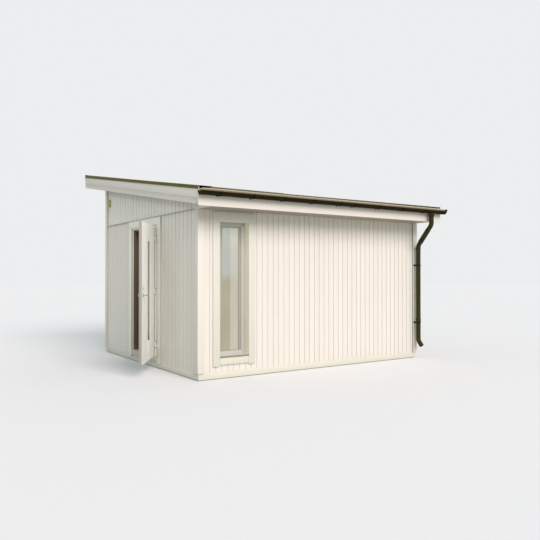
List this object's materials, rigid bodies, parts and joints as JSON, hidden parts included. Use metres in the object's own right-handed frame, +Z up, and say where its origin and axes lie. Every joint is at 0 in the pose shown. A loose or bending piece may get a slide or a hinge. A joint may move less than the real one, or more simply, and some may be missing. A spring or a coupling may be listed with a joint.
{
  "type": "garden cabin",
  "caption": "Single-pitch timber garden cabin with clad walls, an outward door that stands open, a tall fixed window, a gutter and a downpipe.",
  "frame": {"origin": "middle of the footprint over the corner boards, on the ground", "axes": "+X along the window wall, +Y from the window wall to the high back wall, +Z up"},
  "size_m": [4.9067, 4.826, 3.2876],
  "materials": {
    "cladding": "painted, satin",
    "painted_trim": "painted, satin",
    "painted_joinery": "painted, satin",
    "floor_boards": "oiled",
    "floor_underside": "bare, closed panel",
    "ceiling": "bare boards",
    "soffit": "painted, matt",
    "roof_sheet": "coated steel sheet",
    "folded_sheet": "coated steel sheet",
    "gutter_metal": "coated steel",
    "black_metal": "coated steel",
    "vent_metal": "coated steel sheet",
    "hinge_steel": "zinc plated",
    "handle_steel": "brushed",
    "glass": "sealed unit",
    "threshold_wood": "oiled hardwood"
  },
  "bodies": {
    "cabin": {"floor_cassette": "floor_underside", "floor_boards": "floor_boards", "front_wall_left": "cladding", "front_wall_right": "cladding", "front_wall_over_window": "cladding", "front_wall_under_window": "cladding", "back_wall": "cladding", "left_wall_front": "cladding", "left_wall_back": "cladding", "left_wall_over_door": "cladding", "right_wall": "cladding", "left_gable": "cladding", "right_gable": "cladding", "gable_drip_strips": "folded_sheet", "corner_boards": "painted_trim", "skirting_boards": "painted_trim", "roof_slab": "ceiling", "roof_covering": "roof_sheet", "rake_boards_upper": "painted_trim", "rake_boards_lower": "painted_trim", "fascia_boards": "painted_trim", "soffit_boards": "soffit", "rake_flashings": "folded_sheet", "ridge_flashing": "folded_sheet", "eave_flashing": "folded_sheet", "gutter": "gutter_metal", "gutter_hooks": "black_metal", "downpipe": "gutter_metal", "pipe_clips": "black_metal", "door_frame": "painted_joinery", "door_threshold": "threshold_wood", "door_architraves": "painted_trim", "hinge_frame_halves": "hinge_steel", "window_lining": "painted_joinery", "window_frame": "painted_joinery", "window_glass": "glass", "window_casing": "painted_trim", "window_sill": "folded_sheet", "vent_hood": "vent_metal"},
    "door": {"door_leaf": "painted_joinery", "door_glass": "glass", "door_fittings": "handle_steel", "hinge_leaf_halves": "hinge_steel"},
    "lever": {"door_handle": "handle_steel"}
  },
  "joints": [
    {"name": "door_hinge", "type": "hinge", "parent": "cabin", "child": "door", "pos_m": [-2.0775, -0.4695, 1.15], "axis": [0, 0, 1], "range_deg": [-147, 23]},
    {"name": "lever_turn", "type": "hinge", "parent": "door", "child": "lever", "pos_m": [-2.60115, -1.21985, 1.125], "axis": [-0.8387, 0.5446, 0], "range_deg": [0, 40], "stiffness_Nm_per_rad": 3, "springref_deg": -22.92}
  ]
}
